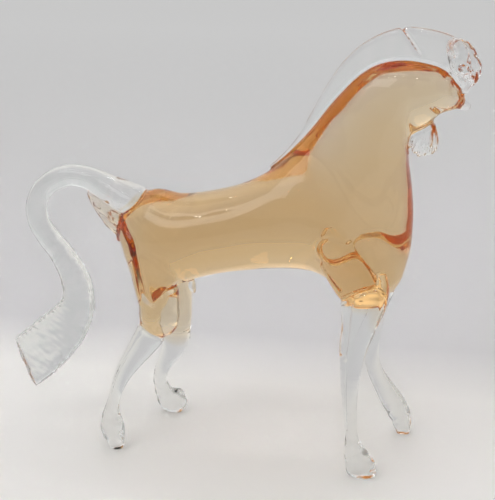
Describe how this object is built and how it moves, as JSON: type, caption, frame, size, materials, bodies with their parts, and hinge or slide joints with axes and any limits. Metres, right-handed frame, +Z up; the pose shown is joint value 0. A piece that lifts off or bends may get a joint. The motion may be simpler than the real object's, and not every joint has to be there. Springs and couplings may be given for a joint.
{
  "type": "glass horse figurine",
  "caption": "Standing solid glass horse with an amber body and a clear mane, forelock, ears, tail and legs.",
  "frame": {"origin": "centre of the bounding box's floor, on the plane that the four hooves stand on", "axes": "+X the way the horse faces, +Y to its left side, +Z up"},
  "size_m": [0.1538, 0.0404, 0.1413],
  "materials": {
    "amber_glass": "fire-polished, transparent pale amber, darker where it is thick or seen edge on",
    "clear_glass": "fire-polished, clear, faintly cool",
    "pressed_clear_glass": "clear, surface rippled where it was pressed with a ribbed tool"
  },
  "bodies": {
    "root": {"body": "amber_glass", "mane": "clear_glass", "forelock": "clear_glass", "ear_right": "pressed_clear_glass", "ear_left": "pressed_clear_glass", "muzzle_lip": "clear_glass", "beard": "pressed_clear_glass", "tail": "pressed_clear_glass", "front_leg_right": "clear_glass", "front_leg_left": "clear_glass", "hind_leg_right": "clear_glass", "hind_leg_left": "clear_glass", "belly_nub": "clear_glass"}
  },
  "joints": []
}
